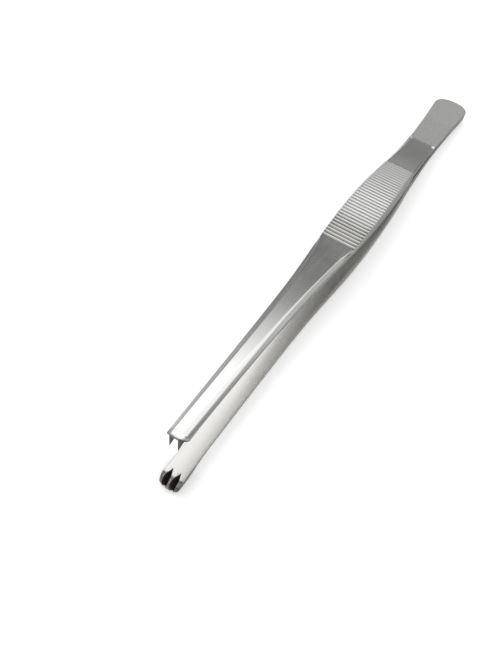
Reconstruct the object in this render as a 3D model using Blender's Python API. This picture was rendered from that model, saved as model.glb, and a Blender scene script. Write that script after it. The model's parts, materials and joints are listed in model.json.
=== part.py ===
"""Toothed dressing forceps: two spring steel arms joined at the tail.

Every size below is in millimetres. An arm is described in its own terms: the
distance from the tail end, the sideways place, and the height above its inner
face. The scene is in metres, +Z up, with the tips towards -Y, and the forceps
lies on the lower arm.
"""
import math

import bmesh
import bpy
import numpy as np
from mathutils import Vector

MM = 0.001
OBJECT_NAME = "toothed_dressing_forceps"

# Places along the arm, measured from the tail end
TAIL_ROUND = 6.0
WELD_END = 19.2
CREASE = 39.7
NECK = 45.5
GRIP_START = 65.3
GRIP_CREST = 86.0
GRIP_END = 119.8
SHANK_START = 136.0
SHANK_MIDDLE = 158.0
FACE_END = 201.2

# How far the upper tip and the lower nose stand ahead of the face end
UPPER_REACH = 1.0
NOSE_REACH = 2.1

# Half widths of an arm, seen from above, and how far the foot of a side wall
# stands out at the grip and draws in at the tip
TAIL_HALF_WIDTH = 7.1
WELD_HALF_WIDTH = 6.1
NECK_HALF_WIDTH = 5.3
GRIP_HALF_WIDTH = 6.35
GRIP_END_HALF_WIDTH = 5.55
SHANK_HALF_WIDTH = 4.35
MIDDLE_HALF_WIDTH = 3.42
TIP_HALF_WIDTH = 2.6
GRIP_FLARE = 0.45
TIP_TUCK = 0.45
TAIL_POWER = 2.4

# Heights of an inner face above the middle plane, the arms at rest
SEAM_GAP = 0.3
CREASE_HEIGHT = 1.4
GRIP_START_HEIGHT = 3.6
GRIP_MIDDLE_HEIGHT = 4.9
GRIP_END_HEIGHT = 5.75
MIDDLE_HEIGHT = 7.8
TIP_HEIGHT = 9.9

# Thickness of an arm over its crest
TAIL_THICKNESS = 1.5
CREASE_THICKNESS = 1.15
GRIP_START_THICKNESS = 2.0
GRIP_CREST_THICKNESS = 2.9
GRIP_END_THICKNESS = 2.3
SHANK_THICKNESS = 2.2
TIP_THICKNESS = 1.9

# Slopes at the ends of the curves, in millimetres to a millimetre of length
TAIL_TAPER = -0.05
TIP_TAPER = -0.018
WELD_SLOPE = 0.055
TIP_SLOPE = 0.047
GRIP_SWELL = 0.05
TIP_THINNING = -0.01

# Bevels between the crest and the side walls: the shank's opens from a point at
# the grip's corner, and the tip's is rounded over
TAIL_BEVEL = 0.35
NECK_BEVEL = 1.2
GRIP_BEVEL = 0.75
SHANK_BEVEL = 0.3
BEVEL_OPENING = 5.2
OPEN_BEVEL = 1.15
MIDDLE_BEVEL = 1.55
TIP_BEVEL = 1.15
TAIL_BEVEL_DROP = 0.3
NECK_BEVEL_DROP = 0.5
GRIP_BEVEL_DROP = 0.6
TIP_BEVEL_DROP = 1.15
GRIP_FULLNESS = 0.08
TIP_FULLNESS = 0.2
INNER_EDGE = 0.18
LEAST_WALL = 0.05
CREASE_WIDTH = 0.05
BEVEL_STEPS = 4

# Cross grooves of the finger grip
GROOVE_COUNT = 33
GROOVE_DEPTH = 0.42
RIDGE_LAND = 0.4
SPARE_SHARE = 0.45
CUTTER_MARGIN = 2.0

# Two teeth on the upper arm, three claws and two slots on the lower arm
TOOTH_SPACING = 2.3
TOOTH_OFFSET = -0.2
TOOTH_HALF_WIDTH = 0.85
TOOTH_LENGTH = 3.5
TOOTH_BACK = 2.7
TOOTH_FRONT = 0.35
TOOTH_REACH = 0.2
TOOTH_SEAT = 0.06
TOOTH_ROOT = 0.5
SLOT_CLEARANCE = 0.3
SLOT_OVERRUN = 1.5
NOSE_THICKNESS = 4.0
NOSE_ROOT = 12.0
NOSE_MIDDLE = 0.47
NOSE_NARROWING = 0.12
NOSE_BEVEL_LOSS = 0.3
NOSE_EXTRA_DROP = 0.4
TIP_CORNER = 1.2
TIP_CORNER_DEPTH = 0.7

# Spacing of the sections along an arm, and how many there are round the tail and in the nose
SECTION_STEP = 2.6
TAIL_SECTIONS = 9
NOSE_SECTIONS = 8

# Greatest share of a section that an edge or a bevel may take
EDGE_SHARE = 0.3
BEVEL_SHARE = 0.7


def spline(places, values, start_slope, end_slope):
    """Return a cubic curve through the points with the given end slopes."""
    x = np.asarray(places, float)
    y = np.asarray(values, float)
    h = np.diff(x)
    n = len(x)
    matrix = np.zeros((n, n))
    right = np.zeros(n)
    matrix[0, 0] = 1.0
    matrix[-1, -1] = 1.0
    right[0] = start_slope
    right[-1] = end_slope
    for i in range(1, n - 1):
        matrix[i, i - 1] = 1.0 / h[i - 1]
        matrix[i, i] = 2.0 * (1.0 / h[i - 1] + 1.0 / h[i])
        matrix[i, i + 1] = 1.0 / h[i]
        right[i] = 3.0 * ((y[i] - y[i - 1]) / h[i - 1] ** 2 + (y[i + 1] - y[i]) / h[i] ** 2)
    slope = np.linalg.solve(matrix, right)

    def curve(distance):
        place = float(np.clip(distance, x[0], x[-1]))
        i = int(np.clip(np.searchsorted(x, place) - 1, 0, n - 2))
        u = (place - x[i]) / h[i]
        a = (1 + 2 * u) * (1 - u) ** 2
        b = u * (1 - u) ** 2
        c = u * u * (3 - 2 * u)
        d = u * u * (u - 1)
        return a * y[i] + b * h[i] * slope[i] + c * y[i + 1] + d * h[i] * slope[i + 1]

    return curve


GRIP_MIDDLE = (GRIP_START + GRIP_END) / 2

UPPER_END = FACE_END + UPPER_REACH

plan_curve = spline(
    [0, WELD_END, NECK, GRIP_MIDDLE, GRIP_END, SHANK_START, SHANK_MIDDLE, FACE_END],
    [TAIL_HALF_WIDTH, WELD_HALF_WIDTH, NECK_HALF_WIDTH, GRIP_HALF_WIDTH, GRIP_END_HALF_WIDTH,
     SHANK_HALF_WIDTH, MIDDLE_HALF_WIDTH, TIP_HALF_WIDTH],
    TAIL_TAPER, TIP_TAPER)

bow_curve = spline(
    [WELD_END, CREASE, GRIP_START, GRIP_MIDDLE, GRIP_END, SHANK_MIDDLE, FACE_END],
    [SEAM_GAP / 2, CREASE_HEIGHT, GRIP_START_HEIGHT, GRIP_MIDDLE_HEIGHT, GRIP_END_HEIGHT,
     MIDDLE_HEIGHT, TIP_HEIGHT],
    WELD_SLOPE, TIP_SLOPE)

grip_thickness_curve = spline(
    [GRIP_START, GRIP_CREST, GRIP_END, SHANK_MIDDLE, FACE_END],
    [GRIP_START_THICKNESS, GRIP_CREST_THICKNESS, GRIP_END_THICKNESS, SHANK_THICKNESS, TIP_THICKNESS],
    GRIP_SWELL, TIP_THINNING)


def inner_height(distance):
    """Height of the inner face above the middle plane; flat along the weld."""
    if distance <= WELD_END:
        return SEAM_GAP / 2
    if distance <= FACE_END:
        return bow_curve(distance)
    return TIP_HEIGHT + (distance - FACE_END) * TIP_SLOPE


def thickness(distance):
    """Thickness over the crest, with a crisp break of slope at the crease."""
    if distance <= CREASE:
        return np.interp(distance, [0, WELD_END, CREASE], [TAIL_THICKNESS, TAIL_THICKNESS, CREASE_THICKNESS])
    if distance <= GRIP_START:
        return np.interp(distance, [CREASE, GRIP_START], [CREASE_THICKNESS, GRIP_START_THICKNESS])
    return grip_thickness_curve(distance)


def half_width(distance):
    """Half width of the plan outline, with the tail end a rounded spatula."""
    width = plan_curve(distance)
    if distance >= TAIL_ROUND:
        return width
    along = 1 - max(distance, 0.0) / TAIL_ROUND
    return width * (1 - along ** TAIL_POWER) ** (1 / TAIL_POWER)


def foot_shift(distance):
    """How far the foot of a side wall stands out beyond its top: out at the grip, in at the tip."""
    places = [GRIP_START, GRIP_START + BEVEL_OPENING, GRIP_MIDDLE, GRIP_END, SHANK_MIDDLE - BEVEL_OPENING,
              SHANK_MIDDLE + BEVEL_OPENING, FACE_END - NOSE_ROOT, FACE_END]
    shifts = [0, GRIP_FLARE, GRIP_FLARE, 0, 0, -TIP_TUCK, -TIP_TUCK, 0]
    return np.interp(distance, places, shifts)


def bevel_width(distance):
    """Width of the bevel beside the crest, seen from above."""
    places = [CREASE - CREASE_WIDTH, CREASE, GRIP_START, GRIP_END, GRIP_END + BEVEL_OPENING,
              SHANK_MIDDLE, FACE_END]
    widths = [TAIL_BEVEL, NECK_BEVEL, GRIP_BEVEL, SHANK_BEVEL, OPEN_BEVEL, MIDDLE_BEVEL, TIP_BEVEL]
    return min(np.interp(distance, places, widths), BEVEL_SHARE * half_width(distance))


def bevel_drop(distance):
    """How far the side wall's top lies below the crest."""
    places = [0, CREASE, GRIP_START, GRIP_END, FACE_END]
    drops = [TAIL_BEVEL_DROP, NECK_BEVEL_DROP, GRIP_BEVEL_DROP, GRIP_BEVEL_DROP, TIP_BEVEL_DROP]
    return min(np.interp(distance, places, drops), BEVEL_SHARE * thickness(distance))


def bevel_fullness(distance):
    """How far the bevel bulges over its chord, as a share: nearly flat to the shank, round at the tip."""
    return np.interp(distance, [SHANK_START, FACE_END], [GRIP_FULLNESS, TIP_FULLNESS])


def section(width, foot, bevel, bottom, top, drop, fullness):
    """One closed cross-section as (sideways, height) points, right side first.

    The inner face is flat with broken edges, the side walls lead up from their
    feet, and a slightly full bevel leads on to the flat crest.
    """
    edge = min(INNER_EDGE, EDGE_SHARE * (top - bottom), EDGE_SHARE * width)
    wall = max(top - drop, bottom + edge + LEAST_WALL)
    right = [(foot - edge, bottom), (foot, bottom + edge)]
    for i in range(BEVEL_STEPS):
        u = i / BEVEL_STEPS
        full = fullness * math.sin(math.pi * u)
        right.append((width - bevel * (u - full), wall + (top - wall) * (u + full)))
    right.append((width - bevel, top))
    left = [(-x, z) for x, z in reversed(right)]
    return right + left


def tail_places():
    """Distances close together round the tail end's curve."""
    angles = np.radians(np.linspace(5, 90, TAIL_SECTIONS))
    return [TAIL_ROUND * (1 - math.cos(a) ** (2 / TAIL_POWER)) for a in angles]


def middle_places(last):
    """Even distances from the tail to the tip, with the bends and creases kept."""
    marks = [TAIL_ROUND, WELD_END, CREASE - CREASE_WIDTH, CREASE, GRIP_START, GRIP_START + BEVEL_OPENING,
             GRIP_END, GRIP_END + BEVEL_OPENING, SHANK_START, last]
    places = []
    for a, b in zip(marks, marks[1:]):
        steps = max(1, round((b - a) / SECTION_STEP))
        places += [a + (b - a) * i / steps for i in range(1, steps + 1)]
    return places


def arm_section(distance, shrink=0.0):
    """Section of the plain arm at a distance, narrowed by shrink at a tip corner."""
    width = half_width(distance) - shrink
    foot = width + foot_shift(distance)
    return section(width, foot, bevel_width(distance), 0.0, thickness(distance), bevel_drop(distance),
                   bevel_fullness(distance))


def upper_sections():
    """Sections of the upper arm, ending in a square tip with rounded corners."""
    rows = [(d, arm_section(d)) for d in tail_places() + middle_places(UPPER_END - TIP_CORNER)]
    for angle in (25, 45, 62, 80):
        a = math.radians(angle)
        place = UPPER_END - TIP_CORNER * (1 - math.sin(a))
        rows.append((place, arm_section(place, TIP_CORNER * TIP_CORNER_DEPTH * (1 - math.cos(a)))))
    return rows


def lower_sections():
    """Sections of the lower arm, which thickens into a round nose."""
    root = FACE_END - NOSE_ROOT
    rows = [(d, arm_section(d)) for d in tail_places() + middle_places(root)]
    for i in range(1, NOSE_SECTIONS + 1):
        place = root + NOSE_ROOT * i / NOSE_SECTIONS
        rows.append((place, nose_section(place, 0.0)))
    for angle in (15, 30, 45, 58, 70, 80):
        turn = math.radians(angle)
        rows.append((FACE_END + NOSE_REACH * math.sin(turn), nose_section(FACE_END, turn)))
    return rows


def nose_section(distance, angle):
    """Section of the lower tip: the block swells outwards, then rounds off in front."""
    swell = np.clip((distance - FACE_END + NOSE_ROOT) / NOSE_ROOT, 0, 1)
    swell = swell * swell * (3 - 2 * swell)
    block = thickness(distance) + (NOSE_THICKNESS - TIP_THICKNESS) * swell
    middle = NOSE_THICKNESS * NOSE_MIDDLE
    fall = 1 - math.cos(angle)
    bottom = middle * fall
    top = block - (NOSE_THICKNESS - middle) * fall
    width = half_width(distance) * (1 - NOSE_NARROWING * fall)
    foot = width + foot_shift(distance)
    bevel = bevel_width(distance) * (1 - NOSE_BEVEL_LOSS * swell)
    drop = (bevel_drop(distance) + NOSE_EXTRA_DROP * swell) * (top - bottom) / block
    return section(width, foot, bevel, bottom, top, drop, bevel_fullness(distance))


def place_point(distance, x, z, side, origin):
    """Arm terms to metres in the forceps frame, side +1 for the upper arm, -1 for the lower."""
    height = side * (inner_height(distance) + z)
    return Vector((x, -distance, height)) * MM - origin


def make_object(name, vertices, faces, collection):
    """A mesh object from points and faces, turned so that every face points out."""
    mesh = bpy.data.meshes.new(name)
    mesh.from_pydata(vertices, [], faces)
    shell = bmesh.new()
    shell.from_mesh(mesh)
    bmesh.ops.recalc_face_normals(shell, faces=shell.faces)
    shell.to_mesh(mesh)
    shell.free()
    thing = bpy.data.objects.new(name, mesh)
    collection.objects.link(thing)
    return thing


def loft(name, rows, side, origin, collection):
    """Skin a row of sections into one closed body."""
    count = len(rows[0][1])
    vertices = []
    for distance, points in rows:
        vertices += [place_point(distance, x, z, side, origin) for x, z in points]
    faces = []
    for row in range(len(rows) - 1):
        for i in range(count):
            j = (i + 1) % count
            a, b = row * count + i, row * count + j
            faces.append((a, b, b + count, a + count))
    last = (len(rows) - 1) * count
    faces.append(tuple(range(count)))
    faces.append(tuple(last + i for i in range(count)))
    return make_object(name, vertices, faces, collection)


def prisms(name, outlines, half_length, collection):
    """Closed prisms across the arm, one for each outline of (distance, height) points in metres."""
    vertices = []
    faces = []
    for outline in outlines:
        start = len(vertices)
        count = len(outline)
        vertices += [(half_length, y, z) for y, z in outline]
        vertices += [(-half_length, y, z) for y, z in outline]
        faces.append(tuple(start + i for i in range(count)))
        faces.append(tuple(start + count + i for i in range(count)))
        for i in range(count):
            j = (i + 1) % count
            faces.append((start + j, start + i, start + count + i, start + count + j))
    return make_object(name, vertices, faces, collection)


def groove_cutter(name, side, origin, collection):
    """Row of three-sided prisms that stand square on the outer face of the grip."""
    pitch = (GRIP_END - GRIP_START) / (GROOVE_COUNT + 1)
    half_opening = (pitch - RIDGE_LAND) / 2
    flare = half_opening / GROOVE_DEPTH
    spare = RIDGE_LAND * SPARE_SHARE / flare
    half_top = half_opening + spare * flare
    outlines = []
    for i in range(GROOVE_COUNT):
        middle = GRIP_START + pitch * (i + 1)
        rise = outer_height(middle + 0.5) - outer_height(middle - 0.5)
        along = Vector((0, -1, side * rise)).normalized()
        out = Vector((0, rise, side)).normalized()
        base = Vector((0, -middle, side * outer_height(middle)))
        corners = [base - out * GROOVE_DEPTH, base + out * spare - side * along * half_top,
                   base + out * spare + side * along * half_top]
        outlines.append([(p.y * MM - origin.y, p.z * MM - origin.z) for p in corners])
    reach = (GRIP_HALF_WIDTH + CUTTER_MARGIN) * MM
    return prisms(name, outlines, reach, collection)


def outer_height(distance):
    """Height of the crest above the middle plane."""
    return inner_height(distance) + thickness(distance)


def tooth_places():
    """Sideways places of the two teeth and of the slots that take them."""
    return [TOOTH_OFFSET - TOOTH_SPACING / 2, TOOTH_OFFSET + TOOTH_SPACING / 2]


def tooth(name, x, origin, collection):
    """One pointed tooth: a three-sided pyramid that leans forward, its root inside the arm."""
    back = UPPER_END - TOOTH_BACK
    front = UPPER_END - TOOTH_FRONT
    tip = (UPPER_END + TOOTH_REACH, x, -TOOTH_LENGTH)
    corners = [(back, x), (front, x - TOOTH_HALF_WIDTH), (front, x + TOOTH_HALF_WIDTH)]
    root = [(d, px, TOOTH_ROOT) for d, px in corners]
    base = [(d, px, TOOTH_SEAT) for d, px in corners]
    points = root + base + [tip]
    vertices = [place_point(d, px, z, 1, origin) for d, px, z in points]
    faces = [(0, 1, 2), (0, 3, 4, 1), (1, 4, 5, 2), (2, 5, 3, 0), (3, 6, 4), (4, 6, 5), (5, 6, 3)]
    return make_object(name, vertices, faces, collection)


def slot_cutter(name, x, collection):
    """V wedge that takes one tooth: its keel runs down and forward, clear of the tooth's back ridge.

    The wedge starts and ends outside the nose, at SLOT_OVERRUN above the inner face
    and ahead of the nose.
    """
    lean = TOOTH_LENGTH / (TOOTH_BACK + TOOTH_REACH)
    start = UPPER_END - TOOTH_BACK - SLOT_CLEARANCE
    flare = (TOOTH_HALF_WIDTH + SLOT_CLEARANCE / 2) / TOOTH_LENGTH
    vertices = []
    for place in (start - SLOT_OVERRUN / lean, FACE_END + NOSE_REACH + SLOT_OVERRUN):
        keel = (place - start) * lean
        half = (keel + SLOT_OVERRUN) * flare + LEAST_WALL
        for px, depth in ((x, keel + LEAST_WALL), (x + half, -SLOT_OVERRUN), (x - half, -SLOT_OVERRUN)):
            vertices.append(Vector((px, -place, -(TIP_HEIGHT + depth))) * MM)
    faces = [(0, 1, 2), (3, 5, 4), (0, 3, 4, 1), (1, 4, 5, 2), (2, 5, 3, 0)]
    return make_object(name, vertices, faces, collection)


def boolean(thing, tool, operation):
    """Cut or join with the exact solver and keep the modifier on the object."""
    modifier = thing.modifiers.new(tool.name, "BOOLEAN")
    modifier.object = tool
    modifier.operation = operation
    modifier.solver = "EXACT"
    tool.hide_render = True
    tool.display_type = "WIRE"


def steel(name, colour, roughness):
    """Polished spring stainless steel."""
    material = bpy.data.materials.new(name)
    material.use_nodes = True
    shader = material.node_tree.nodes["Principled BSDF"]
    shader.inputs["Base Color"].default_value = (*colour, 1.0)
    shader.inputs["Metallic"].default_value = 1.0
    shader.inputs["Roughness"].default_value = roughness
    return material


def shade(thing):
    """Smooth faces with sharp creases and grooves."""
    thing.data.shade_smooth()
    thing.data.set_sharp_from_angle(angle=math.radians(20))


def rest_tilt():
    """Slope of the table against the middle plane: the nose and the grip's bulge both touch it."""
    nose = FACE_END
    drop = inner_height(nose) + NOSE_THICKNESS
    places = np.arange(GRIP_START, GRIP_END, 0.5)
    slopes = [(drop - outer_height(d)) / (nose - d) for d in places]
    return math.atan(min(slopes))


def stand(frame, things):
    """Set the frame empty so that the lowest corners are at z = 0, centred in plan."""
    bpy.context.view_layer.update()
    depsgraph = bpy.context.evaluated_depsgraph_get()
    corners = []
    for thing in things:
        mesh = thing.evaluated_get(depsgraph).data
        points = np.empty(len(mesh.vertices) * 3, np.float32)
        mesh.vertices.foreach_get("co", points)
        matrix = np.array(thing.matrix_world)
        corners.append(points.reshape(-1, 3) @ matrix[:3, :3].T + matrix[:3, 3])
    corners = np.concatenate(corners)
    low, high = corners.min(axis=0), corners.max(axis=0)
    middle = (low + high) / 2
    frame.location -= Vector((middle[0], middle[1], low[2]))
    bpy.context.view_layer.update()


def main():
    """Make both arms on their frame, cut the grooves and slots, join the teeth, and stand it all."""
    for thing in list(bpy.data.objects):
        bpy.data.objects.remove(thing, do_unlink=True)
    parts = bpy.data.collections.new(OBJECT_NAME)
    cutters = bpy.data.collections.new("cutters")
    bpy.context.scene.collection.children.link(parts)
    bpy.context.scene.collection.children.link(cutters)

    frame = bpy.data.objects.new("forceps_frame", None)
    frame.rotation_euler = (-rest_tilt(), 0, 0)
    parts.objects.link(frame)

    here = Vector((0, 0, 0))
    hinge = Vector((0, -WELD_END, 0)) * MM
    lower = loft("lower_arm", lower_sections(), -1, here, parts)
    upper = loft("upper_arm", upper_sections(), 1, hinge, parts)
    lower.parent = frame
    upper.parent = frame
    upper.location = hinge

    for thing, side, origin in ((lower, -1, here), (upper, 1, hinge)):
        tool = groove_cutter(thing.name + "_grooves", side, origin, cutters)
        tool.parent = thing
        boolean(thing, tool, "DIFFERENCE")
    for i, x in enumerate(tooth_places()):
        point = tooth(f"tooth_{i + 1}", x, hinge, cutters)
        point.parent = upper
        boolean(upper, point, "UNION")
        slot = slot_cutter(f"slot_{i + 1}", x, cutters)
        slot.parent = lower
        boolean(lower, slot, "DIFFERENCE")

    upper.data.materials.append(steel("upper_arm_stainless_steel", (0.60, 0.60, 0.59), 0.28))
    lower.data.materials.append(steel("lower_arm_stainless_steel", (0.58, 0.58, 0.57), 0.30))
    shade(upper)
    shade(lower)
    stand(frame, (lower, upper))


main()
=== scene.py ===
"""Toothed dressing forceps: the finished steel surfaces, the table and the light."""
import json
import math

import bmesh
import bpy
import numpy as np
from bpy.props import FloatProperty, FloatVectorProperty, IntProperty, PointerProperty, StringProperty
from mathutils import Matrix, Vector


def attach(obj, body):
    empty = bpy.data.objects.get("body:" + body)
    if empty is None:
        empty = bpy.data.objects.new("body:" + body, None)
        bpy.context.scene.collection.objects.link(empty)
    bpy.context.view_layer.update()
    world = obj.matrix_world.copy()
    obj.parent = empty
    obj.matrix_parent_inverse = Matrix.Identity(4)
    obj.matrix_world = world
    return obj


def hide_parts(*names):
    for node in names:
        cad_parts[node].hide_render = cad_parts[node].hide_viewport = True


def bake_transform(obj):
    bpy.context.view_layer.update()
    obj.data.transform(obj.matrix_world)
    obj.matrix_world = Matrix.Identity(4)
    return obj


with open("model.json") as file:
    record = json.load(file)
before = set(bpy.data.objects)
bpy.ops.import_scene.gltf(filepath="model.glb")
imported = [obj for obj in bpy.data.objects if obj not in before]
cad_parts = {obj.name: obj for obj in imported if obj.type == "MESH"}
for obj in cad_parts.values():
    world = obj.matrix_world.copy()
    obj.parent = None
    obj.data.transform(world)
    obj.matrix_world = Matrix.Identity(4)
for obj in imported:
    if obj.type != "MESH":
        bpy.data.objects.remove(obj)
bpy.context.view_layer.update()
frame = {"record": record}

bl_info = {
    "name": "Toothed dressing forceps",
    "version": (1, 0, 0),
    "blender": (4, 5, 0),
    "location": "View3D > Sidebar > Forceps",
    "description": "Builds the ground steel arms, their toothed tips and a soft studio",
    "category": "Add Mesh",
}

MM = 0.001

# Divisions of a section's six sides, from the right wall round to the inner face, points on
# the curve of a corner, and rows along the surfaces.
BLADE_RUNS = (4, 6, 14, 6, 4, 10)
ARC_POINTS = 5
TAIL_ROWS = 16
WELD_ROWS = 8
TAPER_ROWS = 14
NECK_ROWS = 18
RIDGE_ROWS = 12
SHANK_ROWS = 60
RIM_ROWS = 11
SWELL_ROWS = 30
NOSE_ROWS = 21
TOOTH_ROWS = 14
SLOT_ROWS = 44
SLOT_STEPS = 30
TENT_RINGS = 24
TENT_SIDES = 64

# Slopes at the two ends of the curves along an arm.
WIDTH_SLOPES = (-0.05, -0.018)
BOW_SLOPES = (0.055, 0.047)
THICK_SLOPES = (0.05, -0.01)

# Powers of the outlines and of the grooves' and slots' sections, and how steep a slot's V is.
TAIL_POWER = 2.4
TIP_POWER = 2.2
NOSE_POWER = 2.5
GROOVE_POWER = 0.9
# Power of the dirt and painted shade in the grooves.
DIRT_AND_SHADE_POWER = 0.45
SLOT_POWER = 1.8
SLOT_STEEPNESS = 1.6

# Shares of a size: the most that a bevel or a corner's curve takes of its side, the height
# of the nose's foremost point, and what the nose's front loses of its width and bevel.
BEVEL_SHARE = 0.7
CORNER_SHARE = 0.45
NOSE_MIDDLE = 0.6
NOSE_NARROWING = 0.12
NOSE_BEVEL_LOSS = 0.3

# The neck's bevel opens within this distance of the crease, and rows stand just outside it.
CREASE_HALF = 0.05 * MM
CREASE_ROW = 0.06 * MM
# A place on the neck this far behind the grip.
BEND_STOP = 8 * MM
# Least length that a side of a section counts as, so that nothing is divided by 0.
LEAST_SIDE = 1e-6 * MM

# A grinding line is this many times longer than it is wide.
LINE_STRETCH = 40
# Edges of the slotted nose that turn by more than this are sharp.
SHARP_ANGLE = math.radians(50)
# The camera's sensor, in millimetres.
SENSOR_WIDTH = 36.0


def mm(label, words, millimetres):
    """A length shown in scene units, given here in millimetres."""
    return FloatProperty(name=label, description=words, default=millimetres * MM, unit="LENGTH",
                         precision=5)


def share(label, words, value):
    """A plain share, factor or number."""
    return FloatProperty(name=label, description=words, default=value)


def location(label, words, point):
    """A point in the frame, in metres."""
    return FloatVectorProperty(name=label, description=words, default=point, subtype="TRANSLATION")


def paint(label, words, text):
    """A colour kept as an sRGB hex text."""
    return StringProperty(name=label, description=words, default=text)


class ForcepsPlan(bpy.types.PropertyGroup):
    """Places along an arm, from the tail end, and its half widths there."""

    tail_round: mm("Tail round", "Length of the rounded tail end", 6.0)
    weld_end: mm("Weld end", "Where the two arms part", 19.2)
    crease: mm("Crease", "Where the satin tail meets the ground neck", 39.7)
    neck: mm("Neck", "Narrowest place of the neck", 45.5)
    grip_start: mm("Grip start", "First edge of the cross grooves", 65.3)
    grip_end: mm("Grip end", "Last edge of the cross grooves", 119.8)
    shank_start: mm("Shank start", "Where the grip has run out into the shank", 136.0)
    shank_middle: mm("Shank middle", "Half way down the shank", 158.0)
    face_end: mm("Face end", "Front edge of the inner faces", 201.2)
    tail_width: mm("Tail half width", "Half width at the tail", 7.078)
    weld_width: mm("Weld half width", "Half width at the weld's end", 6.1)
    neck_width: mm("Neck half width", "Half width at the neck", 5.3)
    grip_width: mm("Grip half width", "Half width at the middle of the grip", 6.35)
    grip_end_width: mm("Grip end half width", "Half width at the grip's end", 5.55)
    shank_width: mm("Shank half width", "Half width where the shank starts", 4.35)
    middle_width: mm("Middle half width", "Half width half way down the shank", 3.42)
    tip_width: mm("Tip half width", "Half width at the tip", 2.6)
    grip_flare: mm("Grip flare", "How far the foot of a side wall stands out at the grip", 0.45)
    tip_tuck: mm("Tip tuck", "How far the foot of a side wall draws in behind the tip", 0.45)


class ForcepsProfile(bpy.types.PropertyGroup):
    """Heights of an inner face over the middle plane, and the arm's thickness."""

    seam: mm("Seam", "Gap between the welded tail halves", 0.3)
    crease_height: mm("Crease height", "Height at the crease", 1.4)
    grip_start_height: mm("Grip start height", "Height at the grip's first edge", 3.6)
    grip_middle_height: mm("Grip middle height", "Height at the grip's middle", 4.9)
    grip_end_height: mm("Grip end height", "Height at the grip's last edge", 5.75)
    middle_height: mm("Middle height", "Height half way down the shank", 7.8)
    tip_height: mm("Tip height", "Height at the tip", 9.9)
    tail_thick: mm("Tail thickness", "Thickness over the weld", 1.5)
    crease_thick: mm("Crease thickness", "Thickness at the crease, the thinnest place", 1.15)
    grip_start_thick: mm("Grip start thickness", "Thickness at the grip's first edge", 2.0)
    grip_crest: mm("Grip crest", "Place of the thickest steel", 86.0)
    grip_crest_thick: mm("Grip crest thickness", "Greatest thickness", 2.9)
    grip_end_thick: mm("Grip end thickness", "Thickness at the grip's last edge", 2.3)
    shank_thick: mm("Shank thickness", "Thickness half way down the shank", 2.2)
    tip_thick: mm("Tip thickness", "Thickness at the tip", 1.9)
    tail_bevel: mm("Tail bevel", "Width of the eased edge at the tail", 0.35)
    neck_bevel: mm("Neck bevel", "Width of the bevel in front of the crease", 1.2)
    grip_bevel: mm("Grip bevel", "Width of the bevel beside the grooves", 0.75)
    shank_bevel: mm("Shank bevel", "Width of the bevel at the grip's last edge", 0.3)
    bevel_opening: mm("Bevel opening", "Length over which the shank's bevel opens", 5.2)
    open_bevel: mm("Open bevel", "Width of the shank's bevel once it has opened", 1.15)
    middle_bevel: mm("Middle bevel", "Width of the bevel half way down the shank", 1.55)
    tip_bevel: mm("Tip bevel", "Width of the bevel at the tip", 1.15)
    left_bevel: share("Left bevel", "Share of the bevel's width that the left side has at the tip", 0.92)
    tail_drop: mm("Tail drop", "Drop of the eased edge at the tail", 0.3)
    neck_drop: mm("Neck drop", "Drop of the bevel in front of the crease", 0.5)
    grip_drop: mm("Grip drop", "Drop of the bevel beside the grooves", 0.6)
    tip_drop: mm("Tip drop", "Drop of the bevel at the tip", 1.15)
    foot_round: mm("Foot rounding", "Radius of the inner face's edges", 0.2)
    crest_round: mm("Crest rounding", "Radius of the crest's edges at the grip", 0.12)
    left_wear: mm("Left wear", "Radius that the left edges gain towards the tip", 0.1)
    right_wear: mm("Right wear", "Radius that the right crest gains towards the tip", 1.2)
    wall_wear: mm("Wall wear", "Radius that the right wall's edge gains towards the tip", 0.25)


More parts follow.
